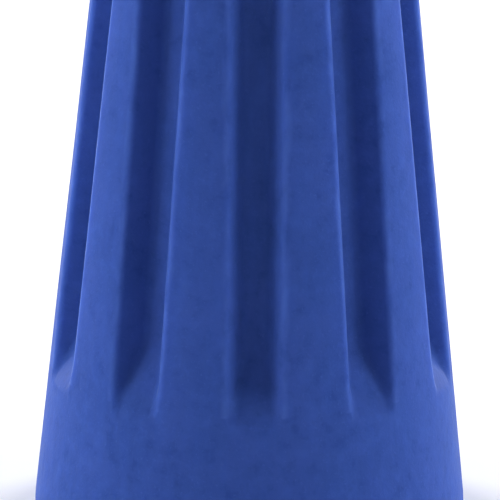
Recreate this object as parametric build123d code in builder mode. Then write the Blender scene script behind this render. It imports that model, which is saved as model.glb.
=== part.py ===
"""Twist-on wire connector with a steel-shelled live spring, in millimetres.

The connector stands on the rim of its skirt: the origin is the centre of the mouth, and +Z points
to the closed tip. The Y axis runs through the middle of two opposite flutes. It is three pieces: a
moulded vinyl insulator, a drawn steel shell trapped in it, and a conical square-wire spring that
floats inside the shell.
"""

import os
from math import cos, radians, sqrt, tan

from build123d import *

# Insulator, outside
LENGTH = 43.0  # mouth rim to tip
RIM_RADIUS = 12.0  # outside of the skirt at the mouth
BAND_HEIGHT = 1.0  # straight band round the rim, below the cone
CREST_SLOPE = 0.104  # radius the cone loses for each millimetre of height, along the rib crests
FLUTE_COUNT = 10
FLUTE_WIDTH = 3.0  # between the edges of one flute, at the crests
FLOOR_WIDTH = 1.2  # between the feet of its slanted walls
FLUTE_START = 8.2  # height where a flute leaves the plain skirt
RUNOUT_LENGTH = 3.4  # height over which a flute reaches its full depth
RUNOUT_BEND = 4.0  # radius between its floor and the run-out's ramp
FLUTE_DEPTH_LOW = 1.7  # below the crests, at the end of the run-out
FLUTE_DEPTH_TIP = 1.5  # below the crests, at the tip
FLOOR_FILLET = 0.5  # between a flute's floor and its walls
CREST_FILLET = 0.45  # along both edges of a rib
RIM_FILLET = 0.4
TIP_FILLET = 1.2
GATE_RADIUS = 2.0  # dimple round the moulding gate, in the tip
GATE_DEPTH = 0.4
GATE_FILLET = 0.2
CUTTER_MARGIN = 2.0  # how far a flute's cutter stands out past the insulator

# Insulator, inside
BORE_RADIUS = 10.5  # straight bore of the skirt, for the insulated wires
BORE_LENGTH = 6.0
MOUTH_CHAMFER = 0.5
LEDGE_RADIUS = 7.8  # ledge that keeps the steel shell in
LEDGE_LOW = 10.4
LEDGE_TOP = 11.2

# Steel shell
SHELL_MOUTH_RADIUS = 8.4  # outside, where it stands on the ledge
SHELL_ANGLE = 6.2  # half-angle of the cone, in degrees
SHELL_WALL = 0.45
SHELL_TOP = 41.2
SHELL_CORNER = 1.3  # outside radius of the drawn corner at the closed end
LIP_RADIUS = 6.9  # hole left by the turned-in lip
LIP_BEND = 0.7  # outside radius of the turned-in lip

# Spring
WIRE_SIDE = 1.15  # square wire, wound with one corner towards the axis
COIL_PITCH = 1.95
WALL_GAP = 0.25  # across to the steel shell, with the spring down on the lip
LIP_GAP = 0.05  # from the lip up to the first coil
TRAVEL = 0.4  # how far the spring floats along the axis
END_GAP = 0.1  # left at the closed end with the spring fully up

RUNOUT_END = FLUTE_START + RUNOUT_LENGTH
CUTTER_TOP = LENGTH + CUTTER_MARGIN
CUTTER_BASE = -1.3 * FLUTE_DEPTH_LOW  # height of the section's base, below the crest and the floor


def crest_radius(height):
    """Outside radius of the cone: the skirt above its band, and the rib crests."""
    return RIM_RADIUS - CREST_SLOPE * (height - BAND_HEIGHT)


def floor_radius(height):
    """Distance from the axis to the middle of a flute's floor, above the run-out."""
    share = (height - RUNOUT_END) / (LENGTH - RUNOUT_END)
    depth = FLUTE_DEPTH_LOW + (FLUTE_DEPTH_TIP - FLUTE_DEPTH_LOW) * share
    return crest_radius(height) - depth


def shell_radius(height):
    """Outside radius of the steel shell's cone."""
    return SHELL_MOUTH_RADIUS - tan(radians(SHELL_ANGLE)) * (height - LEDGE_TOP)


def shell_bore_radius(height):
    """Inside radius of the steel shell's cone."""
    return shell_radius(height) - SHELL_WALL / cos(radians(SHELL_ANGLE))


def wall_side(height):
    """Distance from a flute's middle to its wall, at a height above the crest."""
    return FLUTE_WIDTH / 2 + height * (FLUTE_WIDTH - FLOOR_WIDTH) / 2 / FLUTE_DEPTH_LOW


def faces_axis(face):
    """True for the faces that cut a flute's floor and run-out."""
    return face.normal_at().X < -0.5


def is_rib_edge(edge):
    """True for the long edges between a rib's crest and its walls."""
    if edge.geom_type == GeomType.CIRCLE or edge.length < LENGTH / 2:
        return False
    middle = edge @ 0.5
    return abs(Vector(middle.X, middle.Y).length - crest_radius(middle.Z)) < CREST_FILLET / 2


# The solid that cuts one flute. Its side view gives a straight floor that ramps out through the
# skirt, and its section, run along the crests, gives the slanted walls.
with BuildPart() as flute:
    with BuildSketch(Plane.XZ):
        with BuildLine():
            floor = FilletPolyline(
                (floor_radius(CUTTER_TOP), CUTTER_TOP),
                (floor_radius(RUNOUT_END), RUNOUT_END),
                (crest_radius(FLUTE_START), FLUTE_START),
                radius=RUNOUT_BEND,
            )
            Polyline(
                floor @ 1,
                (floor @ 1) + (floor % 1) * CUTTER_MARGIN,
                (RIM_RADIUS + CUTTER_MARGIN, CUTTER_TOP),
                floor @ 0,
            )
        make_face()
    extrude(amount=FLUTE_WIDTH, both=True)
    crest_plane = Plane(origin=(crest_radius(0), 0, 0), x_dir=(0, -1, 0), z_dir=(-CREST_SLOPE, 0, 1))
    with BuildSketch(crest_plane):
        with BuildLine():
            Polyline(
                (wall_side(CUTTER_MARGIN), CUTTER_MARGIN),
                (wall_side(CUTTER_BASE), CUTTER_BASE),
                (-wall_side(CUTTER_BASE), CUTTER_BASE),
                (-wall_side(CUTTER_MARGIN), CUTTER_MARGIN),
                close=True,
            )
        make_face()
    extrude(amount=2 * CUTTER_TOP, mode=Mode.INTERSECT)
    floor_faces = flute.faces().filter_by(faces_axis)
    fillet(floor_faces.edges().filter_by(Axis.Y, reverse=True), FLOOR_FILLET)

with BuildPart() as insulator:
    with BuildSketch(Plane.XZ):
        with BuildLine():
            Polyline(
                (0, 0),
                (RIM_RADIUS, 0),
                (RIM_RADIUS, BAND_HEIGHT),
                (crest_radius(LENGTH), LENGTH),
                (0, LENGTH),
                close=True,
            )
        make_face()
    revolve(axis=Axis.Z)
    fillet(insulator.edges().filter_by(GeomType.CIRCLE).sort_by(Axis.Z)[-1], TIP_FILLET)
    with PolarLocations(0, FLUTE_COUNT, start_angle=180 / FLUTE_COUNT):
        add(flute.part, mode=Mode.SUBTRACT)
    fillet(insulator.edges().filter_by(is_rib_edge), CREST_FILLET)
    fillet(insulator.edges().filter_by(GeomType.CIRCLE).sort_by(Axis.Z)[0], RIM_FILLET)
    with BuildSketch(Plane.XZ):
        with BuildLine():
            mouth = Polyline(
                (0, 0),
                (BORE_RADIUS + MOUTH_CHAMFER, 0),
                (BORE_RADIUS, MOUTH_CHAMFER),
                (BORE_RADIUS, BORE_LENGTH),
                (LEDGE_RADIUS, LEDGE_LOW),
                (LEDGE_RADIUS, LEDGE_TOP),
                (SHELL_MOUTH_RADIUS, LEDGE_TOP),
            )
            seat = FilletPolyline(
                mouth @ 1,
                (shell_radius(SHELL_TOP), SHELL_TOP),
                (0, SHELL_TOP),
                radius=SHELL_CORNER,
            )
            Line(seat @ 1, mouth @ 0)
        make_face()
    revolve(axis=Axis.Z, mode=Mode.SUBTRACT)
    with Locations((0, 0, LENGTH)):
        Cylinder(GATE_RADIUS, 2 * GATE_DEPTH, mode=Mode.SUBTRACT)
    tip_flat = insulator.faces().sort_by(Axis.Z)[-1]
    fillet(tip_flat.edges().filter_by(GeomType.CIRCLE).sort_by(SortBy.RADIUS)[0], GATE_FILLET)

# Drawn sheet: its outside line, and the same line one wall further in.
with BuildPart() as steel_shell:
    with BuildSketch(Plane.XZ):
        with BuildLine():
            FilletPolyline(
                (LIP_RADIUS, LEDGE_TOP),
                (SHELL_MOUTH_RADIUS, LEDGE_TOP),
                (shell_radius(SHELL_TOP), SHELL_TOP),
                (0, SHELL_TOP),
                radius=[LIP_BEND, SHELL_CORNER],
            )
            offset(amount=SHELL_WALL, side=Side.LEFT)
        make_face()
    revolve(axis=Axis.Z)

# Square wire stood on one corner: half its diagonal lies between the coil's line and its corners.
half_diagonal = WIRE_SIDE / sqrt(2)
first_coil = LEDGE_TOP + SHELL_WALL + LIP_GAP + half_diagonal
last_coil = SHELL_TOP - SHELL_WALL - END_GAP - TRAVEL - half_diagonal

with BuildPart() as spring:
    with BuildLine():
        coil = Helix(
            pitch=COIL_PITCH,
            height=last_coil - first_coil,
            radius=shell_bore_radius(first_coil) - WALL_GAP - half_diagonal,
            center=(0, 0, first_coil),
            cone_angle=-SHELL_ANGLE,
        )
    with BuildSketch(Plane(origin=coil @ 0, x_dir=(1, 0, 0), z_dir=coil % 0)) as wire:
        Rectangle(WIRE_SIDE, WIRE_SIDE, rotation=45)
    sweep(is_frenet=True)

print("spring volume", round(spring.part.volume, 1), "wire", round(wire.sketch.area * coil.length, 1))

os.makedirs("parts", exist_ok=True)

insulator.part.label = "insulator"
export_step(insulator.part, "parts/insulator.step")

steel_shell.part.label = "steel_shell"
export_step(steel_shell.part, "parts/steel_shell.step")

spring.part.label = "spring"
export_step(spring.part, "parts/spring.step")
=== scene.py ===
"""The look of a twist-on wire connector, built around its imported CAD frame, in metres."""

import math

import bmesh
import bpy
import numpy as np
from mathutils import Matrix, Vector, noise


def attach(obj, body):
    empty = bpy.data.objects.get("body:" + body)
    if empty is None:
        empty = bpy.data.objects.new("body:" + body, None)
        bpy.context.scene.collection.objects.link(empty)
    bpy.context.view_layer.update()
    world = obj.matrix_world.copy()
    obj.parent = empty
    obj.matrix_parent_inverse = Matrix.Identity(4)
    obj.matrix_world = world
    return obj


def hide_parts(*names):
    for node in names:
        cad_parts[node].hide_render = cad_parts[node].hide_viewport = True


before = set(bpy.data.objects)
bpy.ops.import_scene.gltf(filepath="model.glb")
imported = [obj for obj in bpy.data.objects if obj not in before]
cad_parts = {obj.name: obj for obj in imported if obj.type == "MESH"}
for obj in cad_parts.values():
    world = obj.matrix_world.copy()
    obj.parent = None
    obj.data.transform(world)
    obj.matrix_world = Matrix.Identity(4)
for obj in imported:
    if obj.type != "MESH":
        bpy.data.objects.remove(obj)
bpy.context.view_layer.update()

MM = 0.001

# Insulator, outside
LENGTH = 43.0 * MM
RIM_RADIUS = 12.0 * MM
BAND_HEIGHT = 1.0 * MM  # straight band round the rim, below the cone
CREST_SLOPE = 0.104
FLUTE_COUNT = 10
FLUTE_SIDE = 1.5 * MM  # from a flute's middle to its edge
FLOOR_SIDE = 0.6 * MM  # from a flute's middle to the foot of its wall
FLUTE_START = 8.2 * MM
RUNOUT_END = 11.6 * MM
FLUTE_DEPTH_LOW = 1.7 * MM  # below the crests, at the end of the run-out
FLUTE_DEPTH_TIP = 1.5 * MM
FLOOR_FILLET = 0.5 * MM
CREST_FILLET = 0.45 * MM
RIM_FILLET = 0.4 * MM
TIP_FILLET = 1.2 * MM
RUNOUT_BLEND = 0.12 * MM  # softens the line where a run-out meets the skirt
RUNOUT_BEND = 0.5 * MM  # softens the line where it meets a flute's floor
FLAT_FLOOR_DEPTH = 0.3 * MM  # a shallower flute's floor bends towards the roundness of the skirt
SHALLOWEST_WALL = 1.0 * MM  # in a shallower flute the feet of the walls stay where they are here
WALL_SHARE = 0.9  # the most of a wall that its two roundings take up
SHRINKAGE = 0.04 * MM  # the most that the moulded surface is pulled in
HOLLOW_SPACING = 3.5 * MM  # between its soft hollows
HOLLOW_STRETCH = 0.4  # below 1, the hollows are longer along the axis
WEAR_AND_HIGHLIGHT_WIDTH = 0.45 * MM  # how far the rubbed wear and the painted highlight reach each side of an edge
WEAR_AND_HIGHLIGHT_DEPTH = 0.5 * MM  # how far below the crests the wear and the painted highlight reach down the walls
WEAR_AND_HIGHLIGHT_OFFSET = 0.1 * MM  # from a flute's edge to the middle of its line of wear and painted highlight
WEAR_AND_HIGHLIGHT_START = FLUTE_START + 0.5 * MM  # height where the lines of wear and painted highlight begin
TIP_WEAR_AND_HIGHLIGHT = 0.8  # how much wear and painted highlight the tip's edge gets, where the ribs get 1

# Insulator, tip and inside
GATE_RADIUS = 2.0 * MM
GATE_DEPTH = 0.4 * MM
GATE_FILLET = 0.2 * MM
NUB_RADIUS = 0.55 * MM
NUB_HEIGHT = 0.22 * MM
NUB_TAPER = 0.85  # radius of its top, as a share of its foot
NUB_INNER_RADIUS = 0.1 * MM  # of the hollow in its top
NUB_INNER_HEIGHT = 0.8  # height of that hollow's edge, as a share of the nub's
NUB_MIDDLE_HEIGHT = 0.75  # height of its middle, as a share of the nub's
NUB_FOOT_FILLET = 0.1 * MM
NUB_FILLET = 0.08 * MM
GATE_FLOOR_FILLET = 0.15 * MM
BORE_RADIUS = 10.5 * MM
BORE_TOP = 6.0 * MM
MOUTH_CHAMFER = 0.5 * MM
LEDGE_RADIUS = 7.8 * MM
LEDGE_LOW = 10.4 * MM
LEDGE_TOP = 11.2 * MM
LEDGE_FILLET = 0.3 * MM  # between the ledge and the funnel
FUNNEL_FILLET = 0.8 * MM  # between the funnel and the straight bore
SMALL_EDGE = 0.08 * MM  # rounding on the sharp edges of the inside

# Steel shell
SHELL_MOUTH_RADIUS = 8.4 * MM
SHELL_ANGLE = math.radians(6.2)
SHELL_WALL = 0.45 * MM
SHELL_TOP = 41.2 * MM
SHELL_CORNER = 1.3 * MM
LIP_RADIUS = 6.9 * MM
LIP_BEND = 0.7 * MM
LIP_EDGE = 0.3  # rounding of the sheet's cut edge, as a share of its wall

# Spring
WIRE_SIDE = 1.15 * MM
WIRE_CORNER = 0.14 * MM
COIL_PITCH = 1.95 * MM  # along the slope of the spring's cone
WALL_GAP = 0.25 * MM
LIP_GAP = 0.05 * MM
TRAVEL = 0.4 * MM
END_GAP = 0.1 * MM
WIRE_END_SHARE = 0.9  # size of the wire's cut face, as a share of its section
WIRE_END_DEPTH = 0.3  # how far its rounding goes in, as a share of the wire's corner

CONE_ANGLE = math.atan(CREST_SLOPE)
HALF_PITCH = math.pi / FLUTE_COUNT

# How finely the meshes are divided
INNER_RING = 0.4 * MM  # radius of the ring round the middle of a closed end
LONGEST_STRETCH = 1.5 * MM  # along a plain outline
TIP_STRETCH = 0.9 * MM  # along the tip's flat
FLOOR_STOPS = (0.0, 0.35, 0.7, 0.92)  # shares of the flat half of a floor
RIB_STOPS = (0.04, 0.15, 0.3, 0.45, 0.6, 0.8, 1.0)  # shares of half a rib's crest
INNER_SHARE = 0.6  # where the slope of a curved floor is taken, as a share of its half
FILLET_STEPS = 7
BEND_MARGIN = 0.3 * MM  # from a bend of the outside to the close rows beside it
WIDE_MARGIN = 0.5 * MM  # from a bend to the wide rows
RIM_MARGIN = 0.06 * MM  # from the rim's rounding to the next row
TIP_MARGIN = 0.1 * MM  # from the tip's rounding to the row below it
RIM_STEPS = 7
TIP_STEPS = 14
SKIRT_ROWS = 6
RUNOUT_ROWS = 32
FLUTE_ROWS = 24
SHELL_SIDES = 160
COIL_STEPS = 56  # along one turn of the spring
NUDGE = 1e-5  # share of the spring's length over which its direction is taken
CORNER_POINTS = 5  # round one corner of its wire
STRAIGHT = math.radians(89.9)  # half the angle of a corner that is too flat to round


# --- Mesh building


class Skin:
    """Rings of vertices joined by faces, from one closed end to the other."""

    def __init__(self):
        self.vertices = []
        self.faces = []
        self.last = []

    def ring(self, points):
        """Joins a ring to the last one, which has as many points, twice as many or half as many."""
        start = len(self.vertices)
        self.vertices.extend(points)
        old, new = self.last, list(range(start, start + len(points)))
        self.last = new
        if len(old) == len(new):
            for i in range(len(old)):
                self.faces.append((old[i - 1], old[i], new[i], new[i - 1]))
        elif old:
            few, many = (new, old) if len(old) > len(new) else (old, new)
            for i in range(len(few)):
                left, middle, right = many[2 * i - 2], many[2 * i - 1], many[2 * i]
                self.faces.append((few[i - 1], middle, left))
                self.faces.append((few[i - 1], few[i], middle))
                self.faces.append((few[i], right, middle))

    def cap(self, point):
        """Closes the skin at its first or its last ring."""
        centre = len(self.vertices)
        self.vertices.append(point)
        for i in range(len(self.last)):
            self.faces.append((self.last[i - 1], self.last[i], centre))

    def piece(self, name, node, body, slot):
        """The skin as a piece that stands for one CAD node."""
        mesh = bpy.data.meshes.new(name)
        mesh.from_pydata(self.vertices, [], self.faces)
        work = bmesh.new()
        work.from_mesh(mesh)
        bmesh.ops.recalc_face_normals(work, faces=work.faces)
        work.to_mesh(mesh)
        work.free()
        mesh.shade_smooth()
        piece = bpy.data.objects.new(name, mesh)
        bpy.context.scene.collection.objects.link(piece)
        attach(piece, body)
        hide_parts(node)
        return piece


def circle(radius, height, angles):
    return [(radius * math.cos(a), radius * math.sin(a), height) for a in angles]


def arc(centre, radius, start, stop, steps):
    """Points (radius, height) along an arc between two angles in degrees, ends included."""
    turns = np.radians(np.linspace(start, stop, steps + 1))
    return [(centre[0] + radius * math.cos(t), centre[1] + radius * math.sin(t)) for t in turns]


def rounded(corner, before, after, radius, steps):
    """Points that round one corner of an outline between two of its neighbours."""
    corner, before, after = Vector(corner), Vector(before), Vector(after)
    back, ahead = (before - corner).normalized(), (after - corner).normalized()
    half = back.angle(ahead) / 2
    if half > STRAIGHT:
        return [tuple(corner)] * (steps + 1)
    centre = corner + (back + ahead).normalized() * (radius / math.sin(half))
    first = corner + back * (radius / math.tan(half)) - centre
    turn = math.copysign(math.pi - 2 * half, ahead.cross(back))
    points = []
    for i in range(steps + 1):
        t = turn * i / steps
        x = first.x * math.cos(t) - first.y * math.sin(t)
        y = first.x * math.sin(t) + first.y * math.cos(t)
        points.append((centre.x + x, centre.y + y))
    return points


def reach(corner, before, after):
    """How far from its corner a rounding starts, for a radius of one."""
    corner, before, after = Vector(corner), Vector(before), Vector(after)
    return 1 / math.tan((before - corner).angle(after - corner) / 2)


def outline(corners, steps=5):
    """An outline in radius and height, from (radius, height, rounding) corners."""
    points = [corners[0][:2]]
    for before, corner, after in zip(corners, corners[1:], corners[2:]):
        if corner[2] > 0:
            points += rounded(corner[:2], before[:2], after[:2], corner[2], steps)
        else:
            points.append(corner[:2])
    points.append(corners[-1][:2])
    return points


def filled(points, longest):
    """The same outline with its long stretches divided."""
    result = [points[0]]
    for (r0, z0), (r1, z1) in zip(points, points[1:]):
        pieces = max(1, math.ceil(math.hypot(r1 - r0, z1 - z0) / longest))
        for i in range(1, pieces + 1):
            result.append((r0 + (r1 - r0) * i / pieces, z0 + (z1 - z0) * i / pieces))
    return result


# --- Insulator


def crest_radius(height):
    return RIM_RADIUS - CREST_SLOPE * (height - BAND_HEIGHT)


def eased(value, blend):
    """The value where it is above zero, and zero below, with a rounded change between."""
    if value <= -blend:
        return 0.0
    if value < blend:
        return (value + blend) ** 2 / (4 * blend)
    return value


def flute_depth(crest, height):
    """Depth below the crest: full along the flute, less on the run-out and round the tip."""
    share = (height - RUNOUT_END) / (LENGTH - RUNOUT_END)
    full = FLUTE_DEPTH_LOW + (FLUTE_DEPTH_TIP - FLUTE_DEPTH_LOW) * share
    ramp = FLUTE_DEPTH_LOW * (height - FLUTE_START) / (RUNOUT_END - FLUTE_START)
    depth = full - eased(full - ramp, RUNOUT_BEND) - (crest_radius(height) - crest)
    return eased(depth, RUNOUT_BLEND)


def fluted_ring(crest, height):
    """Ten flutes and ribs at one height, with rounded floors and rib edges."""
    depth = flute_depth(crest, height)
    curl = 1 - min(1.0, depth / FLAT_FLOOR_DEPTH)
    slant = (FLUTE_SIDE - FLOOR_SIDE) / FLUTE_DEPTH_LOW
    foot_side = FLUTE_SIDE - slant * max(SHALLOWEST_WALL, depth)

    def top(side):
        return math.sqrt(crest**2 - side**2)

    def floor(side):
        return crest + curl * (top(side) - crest) - depth

    foot = (foot_side, floor(foot_side))
    edge = (FLUTE_SIDE, top(FLUTE_SIDE))
    inner_side = 0.0 if depth > FLAT_FLOOR_DEPTH else foot_side * INNER_SHARE
    inside = (inner_side, floor(inner_side))
    beyond = (FLUTE_SIDE + CREST_FILLET, top(FLUTE_SIDE + CREST_FILLET))
    needed = FLOOR_FILLET * reach(foot, inside, edge) + CREST_FILLET * reach(edge, foot, beyond)
    fit = min(1.0, WALL_SHARE * math.dist(foot, edge) / needed)
    low_curve = rounded(foot, inside, edge, FLOOR_FILLET * fit, FILLET_STEPS)
    high_curve = rounded(edge, foot, beyond, CREST_FILLET * fit, FILLET_STEPS)
    half = [(low_curve[0][0] * stop, floor(low_curve[0][0] * stop)) for stop in FLOOR_STOPS]
    wall = [(low_curve[-1][i] + high_curve[0][i]) / 2 for i in (0, 1)]
    half += low_curve + [wall] + high_curve
    profile = [(math.atan2(side, out), math.hypot(side, out)) for side, out in half]
    last = profile[-1][0]
    profile += [(last + (HALF_PITCH - last) * stop, crest) for stop in RIB_STOPS]
    other = [(2 * HALF_PITCH - angle, radius) for angle, radius in profile[-2:0:-1]]
    points = []
    for k in range(FLUTE_COUNT):
        for turn, radius in profile + other:
            angle = (2 * k + 1) * HALF_PITCH + turn
            radius -= shrinkage(radius, angle, height)
            points.append((radius * math.cos(angle), radius * math.sin(angle), height))
    return points


def shrinkage(radius, angle, height):
    """How far the cooling vinyl has pulled in: soft hollows some millimetres apart."""
    where = Vector((radius * math.cos(angle), radius * math.sin(angle), HOLLOW_STRETCH * height))
    return SHRINKAGE * (0.5 + 0.5 * noise.noise(where / HOLLOW_SPACING))


def edge_wear_and_highlight(place):
    """How far a point of the outside is worn, from 0 to 1. Its colour is painted lighter there, a
    painted highlight along the rib, tip and mouth edges, and its roughness is lower from the wear.
    """
    radius = math.hypot(place.x, place.y)
    below = crest_radius(place.z) - radius
    angle = math.atan2(place.y, place.x) % (2 * HALF_PITCH) - HALF_PITCH
    from_edge = abs(abs(radius * math.sin(angle)) - FLUTE_SIDE - WEAR_AND_HIGHLIGHT_OFFSET)
    along_rib = tip = rim = 0.0
    if place.z > WEAR_AND_HIGHLIGHT_START and below < WEAR_AND_HIGHLIGHT_DEPTH:
        along_rib = max(0.0, 1 - from_edge / WEAR_AND_HIGHLIGHT_WIDTH) * (1 - below / WEAR_AND_HIGHLIGHT_DEPTH)
    if below < TIP_FILLET:
        tip = max(0.0, 1 - abs(LENGTH - 0.5 * TIP_FILLET - place.z) / TIP_FILLET)
    if radius > BORE_RADIUS + MOUTH_CHAMFER:
        rim = max(0.0, 1 - place.z / WEAR_AND_HIGHLIGHT_WIDTH)
    return min(1.0, max(along_rib, tip * TIP_WEAR_AND_HIGHLIGHT, rim))


def outside_rows():
    """Crest radius and height of each ring, from the rim's underside to the tip's flat."""
    slant = math.degrees(CONE_ANGLE)
    stretch = 1 / math.cos(CONE_ANGLE)
    tip_height = LENGTH - TIP_FILLET
    tip = (crest_radius(tip_height) - TIP_FILLET * stretch, tip_height)
    rows = arc((RIM_RADIUS - RIM_FILLET, RIM_FILLET), RIM_FILLET, -90, 0, RIM_STEPS)
    rows += [(RIM_RADIUS, RIM_FILLET + RIM_MARGIN), (RIM_RADIUS, BAND_HEIGHT - BEND_MARGIN)]
    high = tip_height + TIP_FILLET * math.sin(CONE_ANGLE)
    heights = list(np.linspace(BAND_HEIGHT + BEND_MARGIN, FLUTE_START - WIDE_MARGIN, SKIRT_ROWS))
    heights += list(np.linspace(FLUTE_START - BEND_MARGIN, RUNOUT_END + BEND_MARGIN, RUNOUT_ROWS))
    heights += list(np.linspace(RUNOUT_END + 2 * WIDE_MARGIN, high - WIDE_MARGIN, FLUTE_ROWS))
    heights += [high - TIP_MARGIN]
    rows += [(crest_radius(height), height) for height in heights]
    return rows + arc(tip, TIP_FILLET, slant, 90, TIP_STEPS)


def tip_outline():
    """The flat of the tip, the dimple round the gate, and the gate's own small nub."""
    floor = LENGTH - GATE_DEPTH
    return outline([
        (outside_rows()[-1][0], LENGTH, 0),
        (GATE_RADIUS + GATE_FILLET, LENGTH, GATE_FILLET),
        (GATE_RADIUS, floor, GATE_FLOOR_FILLET),
        (NUB_RADIUS, floor, NUB_FOOT_FILLET),
        (NUB_RADIUS * NUB_TAPER, floor + NUB_HEIGHT, NUB_FILLET),
        (NUB_INNER_RADIUS, floor + NUB_HEIGHT * NUB_INNER_HEIGHT, 0),
    ])


def inside_outline():
    """From the middle of the cavity's end down to the mouth."""
    return outline([
        (INNER_RING, SHELL_TOP, 0),
        (shell_radius(SHELL_TOP), SHELL_TOP, SHELL_CORNER),
        (SHELL_MOUTH_RADIUS, LEDGE_TOP, 0),
        (LEDGE_RADIUS, LEDGE_TOP, SMALL_EDGE),
        (LEDGE_RADIUS, LEDGE_LOW, LEDGE_FILLET),
        (BORE_RADIUS, BORE_TOP, FUNNEL_FILLET),
        (BORE_RADIUS, MOUTH_CHAMFER, SMALL_EDGE),
        (BORE_RADIUS + MOUTH_CHAMFER, 0, SMALL_EDGE),
        (outside_rows()[0][0], 0, 0),
    ])


def shell_radius(height):
    return SHELL_MOUTH_RADIUS - math.tan(SHELL_ANGLE) * (height - LEDGE_TOP)


def make_insulator():
    skin = Skin()
    angles = [math.atan2(y, x) for x, y, z in fluted_ring(RIM_RADIUS, 0)]
    inside = filled(inside_outline(), LONGEST_STRETCH)[:-1]
    skin.ring(circle(*inside[0], angles[::4]))
    skin.cap((0, 0, SHELL_TOP))
    for radius, height in inside[1:]:
        hidden = height > LEDGE_TOP + SMALL_EDGE
        skin.ring(circle(radius, height, angles[:: 4 if hidden else 2]))
    for radius, height in outside_rows():
        skin.ring(fluted_ring(radius, height))
    for radius, height in filled(tip_outline(), TIP_STRETCH)[1:]:
        skin.ring(circle(radius, height, angles[:: 2 if radius > GATE_RADIUS else 4]))
    skin.cap((0, 0, LENGTH - GATE_DEPTH + NUB_HEIGHT * NUB_MIDDLE_HEIGHT))
    piece = skin.piece("insulator_skin", "insulator", "insulator", "blue_vinyl")
    # a mask along the edges, for real wear and for a painted highlight there
    edge_wear_and_highlight_layer = piece.data.attributes.new("edge_wear_and_highlight", "FLOAT", "POINT")
    edge_wear_and_highlight_layer.data.foreach_set("value", [edge_wear_and_highlight(vertex.co) for vertex in piece.data.vertices])
    return piece


# --- Steel shell and spring


def make_steel_shell():
    skin = Skin()
    angles = np.linspace(0, 2 * math.pi, SHELL_SIDES, endpoint=False)
    inner = SHELL_WALL / math.cos(SHELL_ANGLE)
    inside_top = SHELL_TOP - SHELL_WALL
    inside_low = LEDGE_TOP + SHELL_WALL
    edge = SHELL_WALL * LIP_EDGE
    section = outline([
        (INNER_RING, inside_top, 0),
        (shell_radius(inside_top) - inner, inside_top, SHELL_CORNER - SHELL_WALL),
        (shell_radius(inside_low) - inner, inside_low, LIP_BEND - SHELL_WALL),
        (LIP_RADIUS, inside_low, edge),
        (LIP_RADIUS, LEDGE_TOP, edge),
        (SHELL_MOUTH_RADIUS, LEDGE_TOP, LIP_BEND),
        (shell_radius(SHELL_TOP), SHELL_TOP, SHELL_CORNER),
        (INNER_RING, SHELL_TOP, 0),
    ])
    section = filled(section, LONGEST_STRETCH)
    skin.ring(circle(*section[0], angles))
    skin.cap((0, 0, inside_top))
    for radius, height in section[1:]:
        skin.ring(circle(radius, height, angles))
    skin.cap((0, 0, SHELL_TOP))
    return skin.piece("steel_shell_drawn", "steel_shell", "insulator", "shell_steel")


def wire_section():
    """Square wire with rounded corners, one corner towards the axis."""
    flat = WIRE_SIDE / 2 - WIRE_CORNER
    points = []
    for quarter in range(4):
        middle = math.radians(45 + 90 * quarter)
        corner = Vector((math.copysign(flat, math.cos(middle)), math.copysign(flat, math.sin(middle))))
        for t in np.linspace(middle - math.pi / 4, middle + math.pi / 4, CORNER_POINTS):
            points.append(corner + WIRE_CORNER * Vector((math.cos(t), math.sin(t))))
    turn = Matrix.Rotation(math.radians(45), 2)
    return [turn @ point for point in points]


def make_spring():
    half_diagonal = WIRE_SIDE / math.sqrt(2)
    first = LEDGE_TOP + SHELL_WALL + LIP_GAP + half_diagonal
    last = SHELL_TOP - SHELL_WALL - END_GAP - TRAVEL - half_diagonal
    start_radius = shell_radius(first) - SHELL_WALL / math.cos(SHELL_ANGLE) - WALL_GAP - half_diagonal
    turns = (last - first) / (COIL_PITCH * math.cos(SHELL_ANGLE))
    steps = round(turns * COIL_STEPS)

    def centre(share):
        height = first + (last - first) * share
        radius = start_radius - math.tan(SHELL_ANGLE) * (height - first)
        angle = 2 * math.pi * turns * share
        return Vector((radius * math.cos(angle), radius * math.sin(angle), height)), angle

    skin = Skin()
    section = wire_section()
    for i in range(steps + 1):
        place, angle = centre(i / steps)
        along = (centre(i / steps + NUDGE)[0] - centre(i / steps - NUDGE)[0]).normalized()
        rounding = along * WIRE_CORNER * WIRE_END_DEPTH
        outward = Vector((math.cos(angle), math.sin(angle), 0))
        outward = (outward - along * outward.dot(along)).normalized()
        upward = outward.cross(along) * -1
        ring = [place + outward * point.x + upward * point.y for point in section]
        if i == 0:
            skin.ring([place + (point - place) * WIRE_END_SHARE for point in ring])
            skin.cap(place)
            ring = [point + rounding for point in ring]
        skin.ring(ring)
    skin.ring([place + (point - place) * WIRE_END_SHARE + rounding for point in ring])
    skin.cap(place + rounding)
    return skin.piece("spring_coil", "spring", "spring", "spring_wire")


insulator = make_insulator()
steel_shell = make_steel_shell()
spring = make_spring()


# --- Materials


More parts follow.
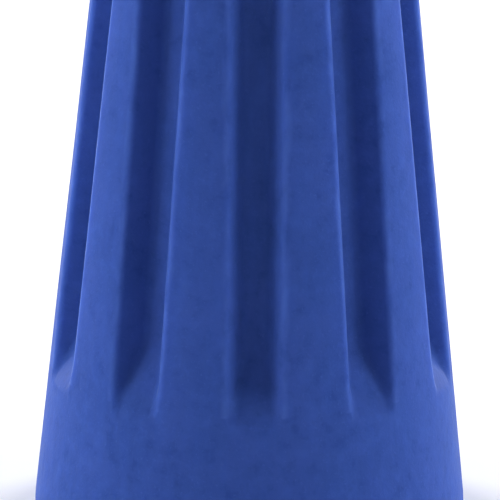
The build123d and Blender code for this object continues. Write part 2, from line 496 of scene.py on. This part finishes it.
class Paint:
    """A material's node tree, with short ways to add nodes and to join them."""

    def __init__(self, name):
        self.material = bpy.data.materials.new(name)
        self.material.use_nodes = True
        self.tree = self.material.node_tree
        self.shader = self.tree.nodes["Principled BSDF"]

    def add(self, kind, settings=None, **inputs):
        node = self.tree.nodes.new("ShaderNode" + kind)
        for key, value in (settings or {}).items():
            setattr(node, key, value)
        for key, value in inputs.items():
            self.put(node.inputs[key.replace("_", " ")], value)
        return node

    def put(self, socket, value):
        if isinstance(value, bpy.types.NodeSocket):
            self.tree.links.new(value, socket)
        else:
            socket.default_value = value

    def place(self, stretch=(1, 1, 1)):
        """Position in millimetres, stretched along the axes."""
        scale = [s / MM for s in stretch]
        where = self.add("TexCoord").outputs["Object"]
        return self.add("Mapping", Vector=where, Scale=scale).outputs["Vector"]

    def noise(self, where, scale, detail=2.0, roughness=0.5):
        node = self.add("TexNoise", Vector=where, Scale=scale, Detail=detail, Roughness=roughness)
        return node.outputs["Fac"]

    def span(self, value, low, high, start=0.0, stop=1.0):
        """Maps low to high on to start to stop, and no further."""
        node = self.add("MapRange", Value=value)
        for key, number in (("From Min", low), ("From Max", high), ("To Min", start), ("To Max", stop)):
            node.inputs[key].default_value = number
        return node.outputs["Result"]

    def mix(self, share, first, second):
        node = self.add("Mix", {"data_type": "RGBA"})
        self.put(node.inputs[0], share)
        self.put(node.inputs[6], first)
        self.put(node.inputs[7], second)
        return node.outputs[2]

    def sum(self, first, second, operation="ADD"):
        node = self.add("Math", {"operation": operation})
        self.put(node.inputs[0], first)
        self.put(node.inputs[1], second)
        return node.outputs[0]

    def bump(self, height, depth, below=None):
        node = self.add("Bump", Height=height, Distance=depth)
        if below:
            self.put(node.inputs["Normal"], below)
        return node.outputs["Normal"]


def colour(red, green, blue):
    """A linear colour from display values between 0 and 255."""
    def linear(value):
        value /= 255
        return value / 12.92 if value <= 0.04045 else ((value + 0.055) / 1.055) ** 2.4
    return (linear(red), linear(green), linear(blue), 1)


def blue_vinyl():
    paint = Paint("blue_vinyl")
    where = paint.place()
    clouds = paint.noise(where, 0.28, detail=3)
    base = paint.mix(paint.span(clouds, 0.35, 0.65), colour(48, 73, 143), colour(52, 76, 148))
    mottle = paint.noise(where, 1.1, detail=3, roughness=0.6)
    base = paint.mix(paint.span(mottle, 0.52, 0.72, 0, 0.4), base, colour(57, 86, 164))
    base = paint.mix(paint.span(mottle, 0.46, 0.3, 0, 0.4), base, colour(37, 61, 125))
    streaks = paint.noise(paint.place((1, 1, 0.12)), 1.6, detail=3)
    base = paint.mix(paint.span(streaks, 0.45, 0.75, 0, 0.25), base, colour(52, 82, 162))
    grain = paint.noise(where, 6.0, detail=3, roughness=0.6)
    base = paint.mix(paint.span(grain, 0.6, 0.8, 0, 0.35), base, colour(72, 102, 178))
    patches = paint.span(paint.noise(paint.place((1, 1, 0.35)), 1.3, detail=3), 0.3, 0.7)
    edge_wear_and_highlight_mask = paint.add("Attribute", {"attribute_name": "edge_wear_and_highlight"}).outputs["Fac"]
    wear_and_highlight = paint.sum(edge_wear_and_highlight_mask, patches, "MULTIPLY")
    # painted highlight: the worn edges are painted a lighter blue that stands in for the bright lines
    # the side light puts along the rib edges; the lower roughness below is real wear
    base = paint.mix(paint.span(wear_and_highlight, 0.15, 0.8, 0, 0.3), base, colour(82, 112, 192))
    paint.put(paint.shader.inputs["Base Color"], base)
    rough = paint.sum(paint.span(clouds, 0.3, 0.7, 0.42, 0.5), paint.span(grain, 0.3, 0.7, 0, 0.08))
    rough = paint.sum(rough, paint.span(wear_and_highlight, 0, 1, 0, 0.12), "SUBTRACT")
    paint.put(paint.shader.inputs["Roughness"], rough)
    peel = paint.bump(mottle, 0.035 * MM)
    paint.put(paint.shader.inputs["Normal"], paint.bump(grain, 0.012 * MM, peel))
    paint.shader.inputs["Specular IOR Level"].default_value = 0.02
    paint.shader.inputs["Specular Tint"].default_value = (0.2, 0.35, 1, 1)
    paint.shader.inputs["Subsurface Weight"].default_value = 0.3
    paint.shader.inputs["Subsurface Radius"].default_value = (0.5, 0.6, 1.0)
    paint.shader.inputs["Subsurface Scale"].default_value = 2.5 * MM
    return paint.material


def plated_steel(name, dark, bright, stretch, rough):
    """Zinc plate over metal drawn in one direction, with a cloudy shine."""
    paint = Paint(name)
    where = paint.place()
    clouds = paint.noise(where, 0.5, detail=4, roughness=0.6)
    lines = paint.noise(paint.place(stretch), 3.0, detail=4, roughness=0.65)
    tone = paint.sum(paint.span(clouds, 0.3, 0.7, 0, 0.6), paint.span(lines, 0.3, 0.7, 0, 0.4))
    paint.put(paint.shader.inputs["Base Color"], paint.mix(tone, dark, bright))
    paint.put(paint.shader.inputs["Roughness"], paint.sum(rough, paint.span(lines, 0.3, 0.7, 0, 0.14)))
    paint.put(paint.shader.inputs["Normal"], paint.bump(lines, 0.008 * MM))
    paint.shader.inputs["Metallic"].default_value = 1.0
    return paint.material


insulator.data.materials.append(blue_vinyl())
steel_shell.data.materials.append(plated_steel(
    "shell_steel", colour(150, 152, 152), colour(205, 207, 208), stretch=(1, 1, 0.06), rough=0.26
))
spring.data.materials.append(plated_steel(
    "spring_wire", colour(128, 130, 132), colour(190, 192, 195), stretch=(0.3, 0.3, 2), rough=0.3
))


# --- Floor, light and camera

FLOOR_REACH = 6000 * MM  # from the middle of the floor to its sides
PANELS = ((60, 0.77), (85, 5.85), (135, 7.0))  # degrees round from the front, and watts
PANEL_WIDTH = 330 * MM
PANEL_HEIGHT = 720 * MM
PANEL_DISTANCE = 780 * MM
PANEL_RISE = math.radians(15)  # above the level of the connector's middle
CAMERA_DISTANCE = 400 * MM
CAMERA_RISE = math.radians(16)
CAMERA_TURN = math.radians(-1.2)  # round from the front
CAMERA_ROLL = 0.0103  # radians
CAMERA_TARGET = Vector((-0.11 * MM, 0, 15.1 * MM))
VIEW_WIDTH = 27.7 * MM  # what the camera sees from side to side, at its target
SKY_COLOUR = (0.93, 0.95, 1.0, 1)
SKY_STRENGTH = 0.235


def make_floor():
    """A pale floor, wide enough to reach the horizon of a low view."""
    paint = Paint("pale_floor")
    clouds = paint.noise(paint.place(), 0.01, detail=3)
    paint.put(
        paint.shader.inputs["Base Color"],
        paint.mix(clouds, colour(247, 247, 248), colour(250, 250, 250)),
    )
    paint.shader.inputs["Roughness"].default_value = 0.75
    corners = [(x * FLOOR_REACH, y * FLOOR_REACH, 0) for x, y in ((-1, -1), (1, -1), (1, 1), (-1, 1))]
    mesh = bpy.data.meshes.new("studio_floor")
    mesh.from_pydata(corners, [], [(0, 1, 2, 3)])
    floor = bpy.data.objects.new("studio_floor", mesh)
    bpy.context.scene.collection.objects.link(floor)
    mesh.materials.append(paint.material)


def aim(thing, place, target, roll=0.0):
    """Points a light or the camera at a target."""
    turn = (Vector(target) - Vector(place)).to_track_quat("-Z", "Y").to_matrix()
    turn = turn @ Matrix.Rotation(roll, 3, "Z")
    thing.matrix_world = Matrix.Translation(place) @ turn.to_4x4()


def make_panel(name, turn, power):
    """A tall soft light round the connector, whose lower part is hidden below the floor."""
    lamp = bpy.data.lights.new(name, "AREA")
    lamp.shape = "RECTANGLE"
    lamp.size, lamp.size_y = PANEL_WIDTH, PANEL_HEIGHT
    lamp.energy = power
    light = bpy.data.objects.new(name, lamp)
    bpy.context.scene.collection.objects.link(light)
    turn = math.radians(turn)
    place = (
        PANEL_DISTANCE * math.sin(turn) * math.cos(PANEL_RISE),
        -PANEL_DISTANCE * math.cos(turn) * math.cos(PANEL_RISE),
        0.5 * LENGTH + PANEL_DISTANCE * math.sin(PANEL_RISE),
    )
    aim(light, place, (0, 0, 0.4 * LENGTH))


def make_camera():
    camera = bpy.data.objects.new("camera", bpy.data.cameras.new("camera"))
    bpy.context.scene.collection.objects.link(camera)
    camera.data.angle = 2 * math.atan(VIEW_WIDTH / 2 / CAMERA_DISTANCE)
    camera.data.clip_start = 10 * MM
    back = Vector((
        math.sin(CAMERA_TURN) * math.cos(CAMERA_RISE),
        -math.cos(CAMERA_TURN) * math.cos(CAMERA_RISE),
        math.sin(CAMERA_RISE),
    ))
    aim(camera, CAMERA_TARGET + back * CAMERA_DISTANCE, CAMERA_TARGET, CAMERA_ROLL)
    bpy.context.scene.camera = camera


make_floor()
for turn, power in PANELS:
    for side in (-1, 1):
        make_panel("panel_%d_%s" % (turn, "left" if side < 0 else "right"), side * turn, power)
make_camera()

world = bpy.data.worlds.new("studio")
world.use_nodes = True
world.node_tree.nodes["Background"].inputs["Color"].default_value = SKY_COLOUR
world.node_tree.nodes["Background"].inputs["Strength"].default_value = SKY_STRENGTH
bpy.context.scene.world = world
bpy.context.scene.view_settings.view_transform = "Standard"
